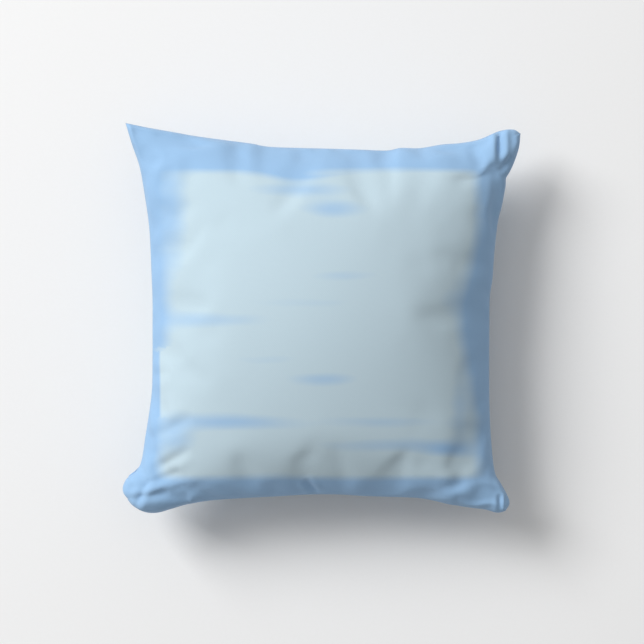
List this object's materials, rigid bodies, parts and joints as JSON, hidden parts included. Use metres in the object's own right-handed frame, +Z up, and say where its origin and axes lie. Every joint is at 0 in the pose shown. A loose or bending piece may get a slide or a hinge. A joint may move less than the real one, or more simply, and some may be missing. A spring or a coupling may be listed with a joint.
{
  "type": "throw pillow",
  "caption": "Square stuffed throw pillow with a printed cotton cover, pulled-in sides and soft pointed corners, closed by a zip in its bottom seam over an inner cushion.",
  "frame": {"origin": "centre of the bounding box at its underside, on the flat patch that the pillow rests on", "axes": "+X to the right of the printed picture, +Y to the top of the picture, +Z up out of the printed front as the pillow lies on its back"},
  "size_m": [0.397, 0.391, 0.146],
  "materials": {
    "printed_cotton": "plain-woven cotton, printed",
    "thread": "spun polyester sewing thread",
    "label_satin": "blank woven satin tape",
    "insert_cloth": "plain white cotton",
    "polyester_fill": "loose hollow-fibre stuffing",
    "zipper_tape": "woven polyester tape",
    "zipper_nylon": "extruded nylon monofilament coil",
    "stop_metal": "crimped metal",
    "slider_enamel": "enamelled zinc"
  },
  "bodies": {
    "cover": {"cover_front": "printed_cotton", "cover_back": "printed_cotton", "cover_seam_thread": "thread", "cover_overlock_thread": "thread", "care_label": "label_satin", "insert_front": "insert_cloth", "insert_back": "insert_cloth", "insert_seam_thread": "thread", "insert_fill": "polyester_fill", "zipper_tape_front": "zipper_tape", "zipper_tape_back": "zipper_tape", "zipper_coil_front": "zipper_nylon", "zipper_coil_back": "zipper_nylon", "zipper_stitches_front": "thread", "zipper_stitches_back": "thread", "zipper_top_stops": "stop_metal", "zipper_bottom_stop": "stop_metal"},
    "slider": {"zipper_slider": "slider_enamel"},
    "pull": {"zipper_pull": "slider_enamel"}
  },
  "joints": [
    {"name": "zip_slide", "type": "slide", "parent": "cover", "child": "slider", "axis": [-1, 0, 0], "range_m": [0, 0.221]},
    {"name": "pull_pivot", "type": "hinge", "parent": "slider", "child": "pull", "pos_m": [0.121, -0.17085, 0.062], "axis": [0, 0, 1], "range_deg": [0, 115]}
  ]
}
